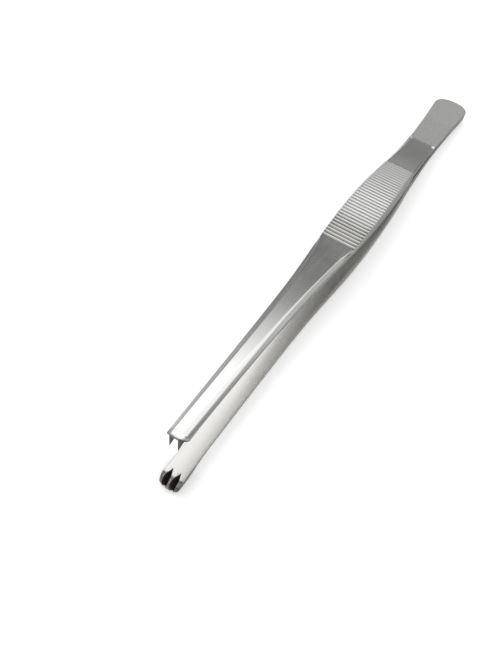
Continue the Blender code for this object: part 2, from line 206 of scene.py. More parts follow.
class ForcepsDetail(bpy.types.PropertyGroup):
    """Cross grooves, teeth, slots and the nose."""

    ridges: IntProperty(name="Ridges", description="Ridges of each finger grip", default=34)
    groove_depth: mm("Groove depth", "Depth of a groove below its ridges", 0.42)
    groove_wear: share("Groove wear", "Share of the depth that is left towards the tail", 0.36)
    # Dirt and painted shade: grooves painted darker beside the bevels.
    edge_dirt_and_shade: share("Edge dirt", "How much duller the grooves are beside the bevels", 0.35)
    upper_reach: mm("Upper reach", "How far the upper tip stands ahead of the lower face end", 1.0)
    tooth_spacing: mm("Tooth spacing", "Spacing of the two teeth", 2.3)
    tooth_offset: mm("Tooth offset", "Sideways place of the middle between the teeth", -0.2)
    tooth_half_width: mm("Tooth half width", "Half width of a tooth at its base", 0.85)
    tooth_length: mm("Tooth length", "Length of a tooth below the inner face", 3.5)
    tooth_back: mm("Tooth back", "How far a tooth's base reaches back from the upper tip", 2.7)
    tooth_front: mm("Tooth front", "How far a tooth's front stands back from the upper tip", 0.35)
    tooth_reach: mm("Tooth reach", "How far a tooth's point stands ahead of the upper tip", 0.2)
    tooth_root: mm("Tooth root", "How far a tooth's root stands inside the arm", 0.5)
    tooth_taper: share("Tooth taper", "Share of a tooth's section that is gone at its point", 0.93)
    tooth_edge: mm("Tooth edge", "Radius of a tooth's edges at its base", 0.22)
    slot_clearance: mm("Slot clearance", "Room between a closed tooth and its slot", 0.3)
    nose_thick: mm("Nose thickness", "Thickness of the lower arm's nose", 3.99)
    nose_root: mm("Nose root", "Length over which the nose swells", 12.0)
    nose_reach: mm("Nose reach", "How far the round nose stands ahead of the face end", 2.07)
    nose_wide: mm("Nose widening", "How much the nose's half width gains", 0.35)
    nose_shift: mm("Nose shift", "How far the nose stands to the right, less than 0 for the left", -0.2)
    nose_wear: mm("Nose wear", "How far the nose's corners are worn back in plan", 0.45)
    nose_round: mm("Nose rounding", "What the nose's bevels gain in drop and its edges in radius", 0.4)
    tip_bend: mm("Tip bend", "Length over which the upper tip's rows bend back", 3.5)
    tip_left: mm("Tip left", "How far the upper tip's left corner is worn back", 0.12)
    tip_right: mm("Tip right", "How far the upper tip's right corner is worn back", 1.4)
    tip_rim: mm("Tip rim", "Length of the upper tip's round front rim", 1.4)
    tip_fall: share("Tip fall", "Share of the height that the rim takes off", 0.68)
    # Painted shade: where the nose's darkened front starts.
    nose_shade_start: mm("Dull start", "How far behind the face end the nose starts to be dull", 0.5)
    # Painted shade: how much darker the upper arm's side walls are painted.
    wall_shade: share("Wall film", "How dull the upper arm's side walls are", 0.4)
    # Painted shade: a dark line along the lower inner face's right edge, weaker on the left.
    foot_shade: share("Foot film", "How dull the right edge of the lower inner face is", 1.0)
    left_shade: share("Left film", "Share of the foot film that the left edge has", 0.25)
    # Painted shade: how dark the lips of the slots are painted.
    lip_shade: share("Lip film", "How dull the lips of the slots are", 0.75)
    slot_cap: mm("Slot cap", "Greatest half width of a slot below its lip", 0.85)
    claw_round: mm("Claw rounding", "Radius of the claws' edges", 0.15)
    # Painted shade: the slotted nose is painted fully dark from this depth on.
    shade_depth: mm("Film depth", "Depth in the slotted nose from which it is fully dark", 0.3)


class ForcepsFinish(bpy.types.PropertyGroup):
    """Colours and finish of the steel."""

    steel: paint("Steel", "Ground stainless steel", "#D6D6D4")
    # Dark colour of the darkening value: dirt and painted shade in the grooves, painted shade on the walls,
    # ends, edges and nose.
    film_and_shade: paint("Film", "Steel in the grooves and on the dull end walls", "#62615E")
    # Dark tone of the teeth: filed steel, and painted shade.
    tooth: paint("Tooth", "Filed steel of the teeth", "#4E4D4B")
    # Slot colours: darker lips and insides, partly hardening scale and partly painted shade in the slots.
    claw: paint("Claw", "Steel at the lips of the slots", "#83827F")
    slot: paint("Slot", "Steel inside the slots, left dark by the hardening", "#5A5552")
    inner: paint("Inner face", "Fine ground inner face", "#D2D1CF")
    streak: mm("Streak", "Spacing of the grinding lines", 0.35)
    cloud: mm("Cloud", "Size of the faint patches in the finish", 9.0)
    speck: mm("Speck", "Size of the specks inside the slots", 0.4)
    blast: share("Blast", "Roughness that the blasted tail adds", 0.09)
    grip_satin: share("Grip satin", "Satin of the worn grip, where the blasted tail has 1", 2.0)
    upper_rough: share("Upper roughness", "Roughness of the upper arm", 0.18)
    lower_rough: share("Lower roughness", "Roughness of the fine ground lower arm", 0.26)
    tooth_rough: share("Tooth roughness", "Roughness of the filed teeth", 0.35)
    lower_grain: share("Lower grain", "Strength of the lower arm's grinding lines", 0.2)


class ForcepsStage(bpy.types.PropertyGroup):
    """Camera, table and light."""

    camera_at: location("Camera", "Place of the camera", (0.033062, -0.153940, 0.149946))
    camera_aim: location("Aim", "Point in the middle of the picture", (-0.005640, -0.055790, 0.010))
    camera_roll: FloatProperty(name="Roll", description="Turn of the camera about its own axis",
                               subtype="ANGLE", default=math.radians(12.0765))
    focal: share("Focal length", "Lens on a 36 mm sensor, in millimetres", 34.527)
    floor: paint("Floor", "White table", "#F7F7F7")
    far_floor: paint("Far floor", "The table as the steel mirrors it from the side", "#C2C2C2")
    table_lift: share("Table lift", "Extra white that the camera sees on the table", 0.24)
    mirror_lift: share("Mirror lift", "Extra white that the steel sees on the table below it", 0.3)
    world_light: share("World light", "Strength of the even light", 0.95)
    key_light: share("Key light", "Strength of the soft lamp, in watts", 0.7)
    lamp_at: location("Lamp", "Place of the soft lamp", (-0.3, 0.1, 0.65))
    lamp_size: mm("Lamp size", "Width of the soft lamp", 500)
    table_half: mm("Table half width", "Half the width of the table top", 1500)
    table_near: mm("Near table", "How far aside the steel still sees the table white", 30)
    table_far: mm("Far table", "How far aside the steel sees the table all grey", 80)
    table_right: mm("Right table", "How far on the right the steel sees the table all grey", 6)
    tent_radius: mm("Tent radius", "Radius of the light tent", 1200)


def linear(text):
    """An sRGB hex colour as linear red, green and blue."""
    parts = [int(text[i:i + 2], 16) / 255 for i in (1, 3, 5)]
    return [p / 12.92 if p <= 0.04045 else ((p + 0.055) / 1.055) ** 2.4 for p in parts]


def spline(places, values, end_slopes):
    """A cubic through the points, with given end slopes, that takes whole arrays.

    The slopes s solve s[i-1]/h[i-1] + 2 s[i] (1/h[i-1] + 1/h[i]) + s[i+1]/h[i] =
    3 (dy[i-1]/h[i-1]^2 + dy[i]/h[i]^2), and each span is the Hermite cubic of its
    end values and slopes.
    """
    x = np.asarray(places, float)
    y = np.asarray(values, float)
    h = np.diff(x)
    rise = np.diff(y) / h ** 2
    inside = np.arange(1, len(x) - 1)
    matrix = np.eye(len(x))
    matrix[inside, inside - 1] = 1 / h[:-1]
    matrix[inside, inside] = 2 * (1 / h[:-1] + 1 / h[1:])
    matrix[inside, inside + 1] = 1 / h[1:]
    right = np.concatenate([end_slopes[:1], 3 * (rise[:-1] + rise[1:]), end_slopes[1:]])
    slope = np.linalg.solve(matrix, right)

    def curve(distance):
        place = np.clip(distance, x[0], x[-1])
        i = np.clip(np.searchsorted(x, place) - 1, 0, len(x) - 2)
        u = (place - x[i]) / h[i]
        return ((1 + 2 * u) * (1 - u) ** 2 * y[i] + u * (1 - u) ** 2 * h[i] * slope[i]
                + u * u * (3 - 2 * u) * y[i + 1] + u * u * (u - 1) * h[i] * slope[i + 1])

    return curve


class ArmForm:
    """An arm's plan, bow, thickness and bevels as functions of the distance from the tail end."""

    def __init__(self, plan, profile, detail):
        self.plan = plan
        self.profile = profile
        self.detail = detail
        grip_middle = (plan.grip_start + plan.grip_end) / 2
        self.width_curve = spline(
            [0, plan.weld_end, plan.neck, grip_middle, plan.grip_end, plan.shank_start,
             plan.shank_middle, plan.face_end],
            [plan.tail_width, plan.weld_width, plan.neck_width, plan.grip_width,
             plan.grip_end_width, plan.shank_width, plan.middle_width, plan.tip_width],
            WIDTH_SLOPES)
        self.bow_curve = spline(
            [plan.weld_end, plan.crease, plan.grip_start, grip_middle, plan.grip_end,
             plan.shank_middle, plan.face_end],
            [profile.seam / 2, profile.crease_height, profile.grip_start_height,
             profile.grip_middle_height, profile.grip_end_height, profile.middle_height,
             profile.tip_height],
            BOW_SLOPES)
        self.thick_curve = spline(
            [plan.grip_start, profile.grip_crest, plan.grip_end, plan.shank_middle, plan.face_end],
            [profile.grip_start_thick, profile.grip_crest_thick, profile.grip_end_thick,
             profile.shank_thick, profile.tip_thick],
            THICK_SLOPES)
        self.hinge = np.array(frame["record"]["behaviour"]["joints"][0]["pos_m"])
        normal = frame["record"]["mounts"][0]["axis"]
        self.tilt = math.atan2(normal[1], normal[2])

    def width(self, d):
        """Half width: the plan curve, rounded at the tail by a superellipse."""
        along = np.clip(1 - d / self.plan.tail_round, 0, 1)
        return self.width_curve(d) * (1 - along ** TAIL_POWER) ** (1 / TAIL_POWER)

    def inner(self, d):
        """Inner face over the middle plane: flat on the weld, then the bow curve, then straight on."""
        past = np.maximum(d - self.plan.face_end, 0)
        bow = np.where(d <= self.plan.weld_end, self.profile.seam / 2, self.bow_curve(d))
        return bow + past * BOW_SLOPES[1]

    def thick(self, d):
        """Thickness over the crest: straight runs that break at the crease, then the grip's curve."""
        plan, profile = self.plan, self.profile
        tail = np.interp(d, [0, plan.weld_end, plan.crease, plan.grip_start],
                         [profile.tail_thick, profile.tail_thick, profile.crease_thick,
                          profile.grip_start_thick])
        return np.where(d < plan.grip_start, tail, self.thick_curve(d))

    def bevel(self, d):
        """Width of the bevel beside the crest: straight runs, with a step at the crease."""
        plan, profile = self.plan, self.profile
        wide = np.interp(d, [plan.crease - CREASE_HALF, plan.crease + CREASE_HALF, plan.grip_start,
                             plan.grip_end, plan.grip_end + profile.bevel_opening,
                             plan.shank_middle, plan.face_end],
                         [profile.tail_bevel, profile.neck_bevel, profile.grip_bevel,
                          profile.shank_bevel, profile.open_bevel,
                          profile.middle_bevel, profile.tip_bevel])
        return np.minimum(wide, BEVEL_SHARE * self.width(d))

    def left_share(self, d):
        """Width of the left bevel as a share of the right one: it narrows towards the tip."""
        return np.interp(d, [self.plan.shank_middle, self.plan.face_end], [1, self.profile.left_bevel])

    def foot(self, d):
        """How far the foot of a side wall stands out beyond its top, or draws in: straight runs."""
        plan, opening = self.plan, self.profile.bevel_opening
        middle = (plan.grip_start + plan.grip_end) / 2
        return np.interp(d, [plan.grip_start, plan.grip_start + opening, middle, plan.grip_end,
                             plan.shank_middle - opening, plan.shank_middle + opening,
                             plan.face_end - self.detail.nose_root, plan.face_end],
                         [0, plan.grip_flare, plan.grip_flare, 0, 0, -plan.tip_tuck, -plan.tip_tuck, 0])

    def drop(self, d):
        """Drop of the bevel from the crest to the side wall: straight runs."""
        plan, profile = self.plan, self.profile
        fall = np.interp(d, [0, plan.crease, plan.grip_start, plan.grip_end, plan.face_end],
                         [profile.tail_drop, profile.neck_drop, profile.grip_drop,
                          profile.grip_drop, profile.tip_drop])
        return np.minimum(fall, BEVEL_SHARE * self.thick(d))

    def unplace(self, points):
        """Distance from the tail end and depth below the lower inner face of points in the frame."""
        cosine, sine = math.cos(self.tilt), math.sin(self.tilt)
        y = points[:, 1] - self.hinge[1]
        z = points[:, 2] - self.hinge[2]
        d = self.plan.weld_end - y * cosine + z * sine
        return d, -(y * sine + z * cosine) - self.inner(d)

    def place(self, d, x, height):
        """Points in the frame: a turn by the resting tilt about the hinge, tips up."""
        ahead = d - self.plan.weld_end
        cosine, sine = math.cos(self.tilt), math.sin(self.tilt)
        y = self.hinge[1] - ahead * cosine + height * sine
        z = self.hinge[2] + ahead * sine + height * cosine
        return np.stack(np.broadcast_arrays(x, y, z), axis=-1)


def round_section(corners, radii, runs, arc=ARC_POINTS):
    """Closed rounded polygons, one for each row: corners is (rows, corners, 2), radii (rows, corners).

    A corner C becomes the curve (1-t)^2 A + 2t(1-t) C + t^2 B, where A and B lie on the two
    sides a radius away from it, or nearer on a short side, and each side between two curves
    is divided evenly.
    """
    count = corners.shape[1]
    previous = np.roll(corners, 1, axis=1)
    following = np.roll(corners, -1, axis=1)

    def toward(other):
        step = other - corners
        size = np.maximum(np.linalg.norm(step, axis=2), LEAST_SIDE)
        reach = np.minimum(radii, CORNER_SHARE * size)
        return corners + step * (reach / size)[..., None]

    before = toward(previous)
    after = toward(following)
    t = np.linspace(0, 1, arc)[None, None, :, None]
    arcs = ((1 - t) ** 2 * before[:, :, None] + 2 * t * (1 - t) * corners[:, :, None]
            + t ** 2 * after[:, :, None])
    pieces = []
    for i in range(count):
        pieces.append(arcs[:, i])
        j = (i + 1) % count
        inner = np.linspace(0, 1, runs[i] + 1)[1:-1][None, :, None]
        pieces.append(after[:, i, None] * (1 - inner) + before[:, j, None] * inner)
    return np.concatenate(pieces, axis=1)


def section_corners(foot, low, width, wall, crest, left, top):
    """Six corners of each section, from the right foot over the crest to the left foot."""
    corners = [(foot, low), (width, wall), (crest, top), (-left, top), (-width, wall), (-foot, low)]
    return np.stack([np.stack(corner, axis=-1) for corner in corners], axis=1)


def blade_section(form, d, least_foot):
    """Corners and radii of an arm's section, inner face at height 0."""
    width = form.width(d)
    thick = form.thick(d)
    wall = thick - form.drop(d)
    crest = width - form.bevel(d)
    left = width - form.bevel(d) * form.left_share(d)
    foot = width + np.maximum(form.foot(d), least_foot)
    corners = section_corners(foot, np.zeros_like(d), width, wall, crest, left, thick)
    return corners, edge_radii(form, d)


def edge_radii(form, d):
    """Radii of a section's six corners: crisp at the grip, then growing towards the tip.

    The left edges and the right wall's edge grow evenly, and the right crest's with the
    square of the share of the way from the grip.
    """
    profile = form.profile
    ripe = np.clip((d - form.plan.grip_end) / (form.plan.face_end - form.plan.grip_end), 0, 1)
    foot = np.full_like(d, profile.foot_round)
    left = profile.crest_round + profile.left_wear * ripe
    right = profile.crest_round + profile.right_wear * ripe ** 2
    wall = profile.crest_round + profile.wall_wear * ripe
    return np.stack([foot, wall, right, left, left, foot], axis=1)


def along_section(arcs, runs):
    """Values round a section: each corner's curve from one value to the next, then its side's value."""
    parts = []
    for (start, end), run, count in zip(arcs, runs, BLADE_RUNS):
        parts += [np.linspace(start, end, ARC_POINTS), np.full(count - 1, run)]
    return np.concatenate(parts)


def wall_shade_share():
    """Painted shade on the side walls: 1 on the walls, 0 elsewhere, with soft ends round the corners."""
    return along_section([(0, 1), (1, 0), (0, 0), (0, 0), (0, 1), (1, 0)], [1, 0, 0, 0, 1, 0])


def foot_shade_share(left_edge):
    """Painted shade at the inner face's edges: half a sine wave over the right edge, a lower one on the
    left, 0 elsewhere.
    """
    arch = np.sin(np.linspace(0, np.pi, ARC_POINTS))
    dull = along_section([(0, 0)] * 6, [0] * 6)
    dull[:ARC_POINTS] = arch
    last = len(dull) - (BLADE_RUNS[5] - 1) - ARC_POINTS
    dull[last:last + ARC_POINTS] = left_edge * arch
    return dull


def tail_rows(form):
    """Distances round the tail end, close together where the outline turns fastest."""
    first_angle = 6
    angles = np.radians(np.linspace(first_angle, 90, TAIL_ROWS))
    return form.plan.tail_round * (1 - np.cos(angles) ** (2 / TAIL_POWER))


def blade_rows(form, last):
    """Distances from the tail to the last row, evenly spaced between the places of the plan."""
    plan = form.plan
    spans = [
        (plan.tail_round, plan.weld_end, WELD_ROWS),
        (plan.weld_end, plan.crease - CREASE_ROW, TAPER_ROWS),
        (plan.crease - CREASE_ROW, plan.crease + CREASE_ROW, 1),
        (plan.crease + CREASE_ROW, plan.grip_start, NECK_ROWS),
        (plan.grip_start, plan.grip_end, RIDGE_ROWS * form.detail.ridges),
        (plan.grip_end, last, SHANK_ROWS),
    ]
    rows = [np.linspace(start, end, count + 1)[1:] for start, end, count in spans]
    return np.concatenate([tail_rows(form)] + rows)


def carve_grip(form, d, points):
    """Cut the cross grooves and return how dark each point in them is painted, from 0 to 1.

    A groove's floor is level across the arm: crest - depth (1 - |sin(pi u)|^0.9), where u
    counts ridges along the grip. A point above the floor comes down to it, so the grooves
    run out on the bevels. Use has worn the grooves shallow behind the grip's front. The grooves
    are painted darker, little in the middle of the grip, more at its tail end and most in the fore
    ones and beside the bevels: dirt, and painted shade in the hollows.
    """
    plan, detail = form.plan, form.detail
    along = (d - plan.grip_start) / (plan.grip_end - plan.grip_start)
    u = along * detail.ridges
    inside = (u > 0.5) & (u < detail.ridges - 0.5)
    wave = np.where(inside, 1 - np.abs(np.sin(np.pi * u)) ** GROOVE_POWER, 0.0)
    least = detail.groove_wear
    # Shares of the depth and of the dirt and painted shade along the grip, from its end at the tail.
    worn = np.interp(along, [0, 0.25, 0.65, 0.78, 0.88], [0.55, least, least, 0.6, 1])
    dirt_and_shade = np.interp(along, [0, 0.2, 0.5, 0.68, 0.82], [0.6, 0.15, 0, 0.25, 1])[:, None]
    edge = detail.edge_dirt_and_shade * (np.abs(points[..., 0]) / form.width(d)[:, None]) ** 6
    depth = wave * worn * detail.groove_depth
    floor = (form.thick(d) - depth)[:, None]
    cut = (points[..., 1] > floor) & (depth > 0)[:, None]
    amount = np.where(cut, np.clip(wave[:, None] ** DIRT_AND_SHADE_POWER * (dirt_and_shade + edge), 0, 1), 0.0)
    points[..., 1] = np.where(cut, floor, points[..., 1])
    return amount


def satin_share(form, points, wear):
    """Satin value of a grid's points: 1 behind the crease, and the wear on the middle of the grip.

    The wear rises from the grip's first groove and falls before its last ones, in straight runs.
    """
    plan = form.plan
    fade = 0.2 * MM
    d = form.unplace(points.reshape(-1, 3))[0].reshape(points.shape[:2])
    tail = np.clip((plan.crease - d) / fade + 0.5, 0, 1)
    along = (d - plan.grip_start) / (plan.grip_end - plan.grip_start)
    return np.maximum(tail, np.interp(along, [0, 0.01, 0.3, 0.68, 0.85], [0, wear / 2, wear, wear, 0]))


def ring_faces(rows, around):
    """Faces between closed rings: each joins two neighbours of a ring to the same two of the next."""
    index = np.arange(rows * around).reshape(rows, around)
    turned = np.roll(index, -1, axis=1)
    return np.stack([index[:-1], turned[:-1], turned[1:], index[1:]], axis=-1).reshape(-1, 4).tolist()


def skin(name, points, attributes=()):
    """A closed surface from a grid of points (rows, around, 3), capped at both ends, faces out."""
    rows, around = points.shape[:2]
    first_ring = np.arange(around)
    last_ring = first_ring + (rows - 1) * around
    faces = ring_faces(rows, around) + [first_ring.tolist(), last_ring.tolist()]
    mesh = bpy.data.meshes.new(name)
    mesh.from_pydata(points.reshape(-1, 3), [], faces)
    for label, values in attributes:
        layer = mesh.attributes.new(label, "FLOAT", "POINT")
        layer.data.foreach_set("value", values.ravel().astype(np.float32))
    shell = bmesh.new()
    shell.from_mesh(mesh)
    bmesh.ops.recalc_face_normals(shell, faces=shell.faces)
    shell.to_mesh(mesh)
    shell.free()
    mesh.shade_smooth()
    piece = bpy.data.objects.new(name, mesh)
    bpy.context.scene.collection.objects.link(piece)
    return piece


def upper_surface(form):
    """Grid of the upper arm: plain rows, a round front rim, then rings that close the end wall.

    Along the rim the height shrinks by s v^2, where v is the share of the rim behind the
    row. Near the tip a row is bent back by b (x / w)^2.2, times the square of the share of
    the bent stretch behind it, with b larger on the right, where the corner is worn round.
    """
    plan, detail = form.plan, form.detail
    end = plan.face_end + detail.upper_reach
    d = blade_rows(form, end - detail.tip_rim)
    corners, radii = blade_section(form, d, -plan.tip_tuck)
    grid = round_section(corners, radii, BLADE_RUNS)
    # Dirt and painted shade in the grooves, and painted shade on the side walls.
    amount = np.maximum(carve_grip(form, d, grid), detail.wall_shade * wall_shade_share())

    v = np.linspace(0, 1, RIM_ROWS + 1)[1:]
    rim = np.repeat(grid[-1:], len(v), axis=0)
    rim[..., 1] *= 1 - detail.tip_fall * v[:, None] ** 2
    # Painted shade: the rim's last row and the rings closing the end wall are fully dark, other rim rows
    # keep the last row's value.
    rim_shade = np.where(v[:, None] == 1, 1.0, amount[-1])
    ring_sizes = np.array([0.97, 0.7, 0.4, 0.1])
    middle = np.array([0.0, rim[-1, :, 1].max() / 2])
    rings = middle + (rim[-1] - middle) * ring_sizes[:, None, None]
    grid = np.concatenate([grid, rim, rings])
    amount = np.concatenate([amount, rim_shade, np.ones(rings.shape[:2])])
    d = np.concatenate([d, end - detail.tip_rim * (1 - v), np.full(len(ring_sizes), end)])[:, None]
    bent = np.clip(1 - (end - d) / detail.tip_bend, 0, 1) ** 2
    aside = grid[..., 0] / form.width(end)
    back = np.where(aside > 0, detail.tip_right, detail.tip_left) * np.abs(aside) ** TIP_POWER
    height = form.inner(d) + grid[..., 1]
    return form.place(d - back * bent, grid[..., 0], height), amount


def lower_surface(form):
    """Grid of the lower arm: plain rows, the swelling nose, then its round front.

    The nose swells by 3 g^2 - 2 g^3, where g is the share of the way from its root to the
    face end. Its front is a quarter ellipse: at an angle a the row stands ahead by the
    reach times sin a, and its crest and foot close in on the middle by 1 - cos a.
    """
    plan, profile, detail = form.plan, form.profile, form.detail
    root = plan.face_end - detail.nose_root
    d = blade_rows(form, root)
    corners, radii = blade_section(form, d, 0.0)
    grid = round_section(corners, radii, BLADE_RUNS)
    amount = carve_grip(form, d, grid)
    swell_at = np.linspace(root, plan.face_end, SWELL_ROWS + 1)[1:]
    last_angle = 79
    angles = np.radians(np.linspace(0, last_angle, NOSE_ROWS + 1))[1:]
    nose_at = np.concatenate([swell_at, plan.face_end + detail.nose_reach * np.sin(angles)])
    fall = np.concatenate([np.zeros(len(swell_at)), 1 - np.cos(angles)])
    grow = np.clip((nose_at - root) / detail.nose_root, 0, 1)
    grow = grow * grow * (3 - 2 * grow)
    shift = detail.nose_shift * np.concatenate([np.zeros(len(d)), grow])[:, None]
    base = np.minimum(nose_at, plan.face_end)
    middle = detail.nose_thick * NOSE_MIDDLE
    low = middle * fall
    swollen = form.thick(base) + (detail.nose_thick - profile.tip_thick) * grow
    top = swollen - (detail.nose_thick - middle) * fall
    width = (form.width(base) + detail.nose_wide * grow) * (1 - NOSE_NARROWING * fall)
    crest = width - form.bevel(base) * (1 - NOSE_BEVEL_LOSS * grow)
    drop = (form.drop(base) + detail.nose_round * grow) * (top - low) / swollen
    nose = section_corners(width, low, width, top - drop, crest, crest, top)
    rounder = detail.nose_round * grow[:, None] * np.array([0, 1, 1, 1, 1, 0])
    nose_grid = round_section(nose, edge_radii(form, base) + rounder, BLADE_RUNS)
    d = np.concatenate([d, nose_at])
    grid = np.concatenate([grid, nose_grid])
    # Painted shade over the nose's front, from just behind the face end.
    amount = np.concatenate([amount, nose_shade(form, nose_at)[:, None] * np.ones(nose_grid.shape[:2])])
    # Painted shade along the edges of the inner face, stronger on the right.
    amount = np.maximum(amount, detail.foot_shade * foot_shade_share(detail.left_shade))
    height = -(form.inner(d)[:, None] + grid[..., 1])
    back = nose_back(form, d[:, None], grid[..., 0])
    return form.place(d[:, None] - back, grid[..., 0] + shift, height), amount


def nose_shade(form, d):
    """Painted shade on the nose: 0 up to just behind the face end, 1 in front of it."""
    start = form.detail.nose_shade_start
    return np.clip((d - form.plan.face_end + start) / start, 0, 1)


def nose_back(form, d, x):
    """How far the nose is worn back beside its middle.

    It is b |x / w|^2.5 s^2, where s grows from 0, one reach behind the face end, to 1 at the
    very front.
    """
    detail = form.detail
    along = np.clip((d - form.plan.face_end + detail.nose_reach) / (2 * detail.nose_reach), 0, 1)
    return detail.nose_wear * np.abs(x / form.plan.tip_width) ** NOSE_POWER * along ** 2


def tooth_middles(detail):
    """Sideways places of the two teeth and their slots."""
    half = detail.tooth_spacing / 2
    return [detail.tooth_offset - half, detail.tooth_offset + half]


def tooth_surface(form, x):
    """Grid of one tooth: a round-cornered triangle that shrinks evenly to a small point.

    At a share u of the way from base to point, the section is the base triangle scaled
    by 1 - taper u about its middle, and the middle moves straight to the point.
    """
    detail = form.detail
    end = form.plan.face_end + detail.upper_reach
    base = np.array([[x, end - detail.tooth_back], [x - detail.tooth_half_width, end - detail.tooth_front],
                     [x + detail.tooth_half_width, end - detail.tooth_front]])
    point = np.array([x, end + detail.tooth_reach])
    u = np.concatenate([[-detail.tooth_root / detail.tooth_length], np.linspace(0, 1, TOOTH_ROWS)])
    middle = base.mean(axis=0)
    centre = middle + (point - middle) * u[:, None]
    size = 1 - detail.tooth_taper * u
    corners = centre[:, None] + (base - middle)[None] * size[:, None, None]
    radii = detail.tooth_edge * np.minimum(size, 1)[:, None] * np.ones(3)
    grid = round_section(corners, radii, runs=(4, 4, 4), arc=ARC_POINTS + 1)
    height = form.inner(end) - detail.tooth_length * u[:, None]
    return form.place(grid[..., 1], grid[..., 0], height)


def inside_nose(form, d, x, depth):
    """How deep a point lies inside the lower nose: under the inner face, or behind the round front.

    The front is a quarter ellipse about the face end, and the depth there is counted as the
    share left to the ellipse, times the half thickness.
    """
    detail = form.detail
    half = detail.nose_thick * NOSE_MIDDLE
    ahead = np.maximum(d + nose_back(form, d, x) - form.plan.face_end, 0) / detail.nose_reach
    front = half * (1 - np.sqrt(ahead ** 2 + (depth / half - 1) ** 2))
    return np.where(ahead > 0, np.where(depth < half, front, half * (1 - ahead)), depth)


def slot_cutter(form, x):
    """Grid of the tool that opens one slot, its keel running down and forward.

    At a height t above the keel the half width is c (1 - exp(-(f t / c)^1.8)), a V that widens
    to straight walls, and within the lip's radius r of the nose's surface it flares by
    r - sqrt(r^2 - (r - depth)^2), which rounds the claws.
    """
    detail = form.detail
    lean = detail.tooth_length / (detail.tooth_back + detail.tooth_reach)
    flare = (detail.tooth_half_width + detail.slot_clearance / 2) / detail.tooth_length
    start = form.plan.face_end + detail.upper_reach - detail.tooth_back - detail.slot_clearance
    above = 0.6 * MM
    behind = 0.3 * MM
    ahead = 0.4 * MM
    keel_half = 0.01 * MM
    d = np.linspace(start - behind, form.plan.face_end + detail.nose_reach + ahead, SLOT_ROWS)[:, None]
    keel = (d - start) * lean
    height = np.linspace(0, 1, SLOT_STEPS) * (keel + above)
    depth = keel - height
    cap = detail.slot_cap
    half = cap * (1 - np.exp(-(height * flare * SLOT_STEEPNESS / cap) ** SLOT_POWER)) + keel_half
    lip = detail.claw_round
    near = np.clip(lip - inside_nose(form, d, x, depth), 0, lip)
    half = half + (lip - np.sqrt(lip ** 2 - near ** 2)) * np.clip(height / lip, 0, 1)
    side = np.concatenate([half, -half[:, ::-1]], axis=1) + x
    depth = np.concatenate([depth, depth[:, ::-1]], axis=1)
    return form.place(d, side, -(form.inner(d) + depth))


def cut_slot(piece, form, x, material):
    """Cut one slot through the nose with the exact solver and keep the result as the piece's mesh."""
    cutter = skin("slot_cutter", slot_cutter(form, x))
    cutter.data.materials.append(material)
    cut = piece.modifiers.new("slot", "BOOLEAN")
    cut.object = cutter
    cut.operation = "DIFFERENCE"
    cut.solver = "EXACT"
    cut.material_mode = "TRANSFER"
    bpy.context.view_layer.update()
    result = bpy.data.meshes.new_from_object(piece.evaluated_get(bpy.context.evaluated_depsgraph_get()))
    piece.modifiers.clear()
    piece.data = result
    bpy.data.objects.remove(cutter)


def paint_slot_shade(piece, form):
    """Painted shade on the slotted nose: the darkening grows evenly with depth to 1, and the lips start
    dark.

    Depth counts from the inner face and the round front, so the front half of the nose's
    sides and outer face is painted dark along with the slot walls.
    """
    mesh = piece.data
    detail = form.detail
    points = np.empty(len(mesh.vertices) * 3, np.float32)
    mesh.vertices.foreach_get("co", points)
    points = points.reshape(-1, 3)
    x = points[:, 0]
    d, depth = form.unplace(points)
    inside = np.clip(inside_nose(form, d, x, depth) / detail.shade_depth, 0, 1)
    lips = detail.lip_shade * nose_shade(form, d + nose_back(form, d, x))
    film_and_shade = mesh.attributes["film_and_shade"].data
    amount = np.empty(len(mesh.vertices), np.float32)
    film_and_shade.foreach_get("value", amount)
    at_nose = d > form.plan.face_end - detail.nose_root / 2
    least = np.where(at_nose, np.maximum(inside, lips), 0.0)
    film_and_shade.foreach_set("value", np.maximum(least, amount).astype(np.float32))


def add_node(tree, kind, values=(), links=(), **settings):
    """Add a shader node, set its attributes and its sockets' values, and link its inputs."""
    node = tree.nodes.new("ShaderNode" + kind)
    for key, value in settings.items():
        setattr(node, key, value)
    for socket, value in dict(values).items():
        node.inputs[socket].default_value = value
    for socket, source in dict(links).items():
        tree.links.new(source, node.inputs[socket])
    return node


def ramp(node, stops):
    """Set a colour ramp's stops from (place, colour) pairs."""
    band = node.color_ramp
    while len(band.elements) > 1:
        band.elements.remove(band.elements[0])
    band.elements[0].position = stops[0][0]
    band.elements[0].color = stops[0][1]
    for position, colour in stops[1:]:
        band.elements.new(position).color = colour


def start_material(name):
    """A new material with an empty node tree."""
    material = bpy.data.materials.new(name)
    material.use_nodes = True
    material.node_tree.nodes.clear()
    return material, material.node_tree


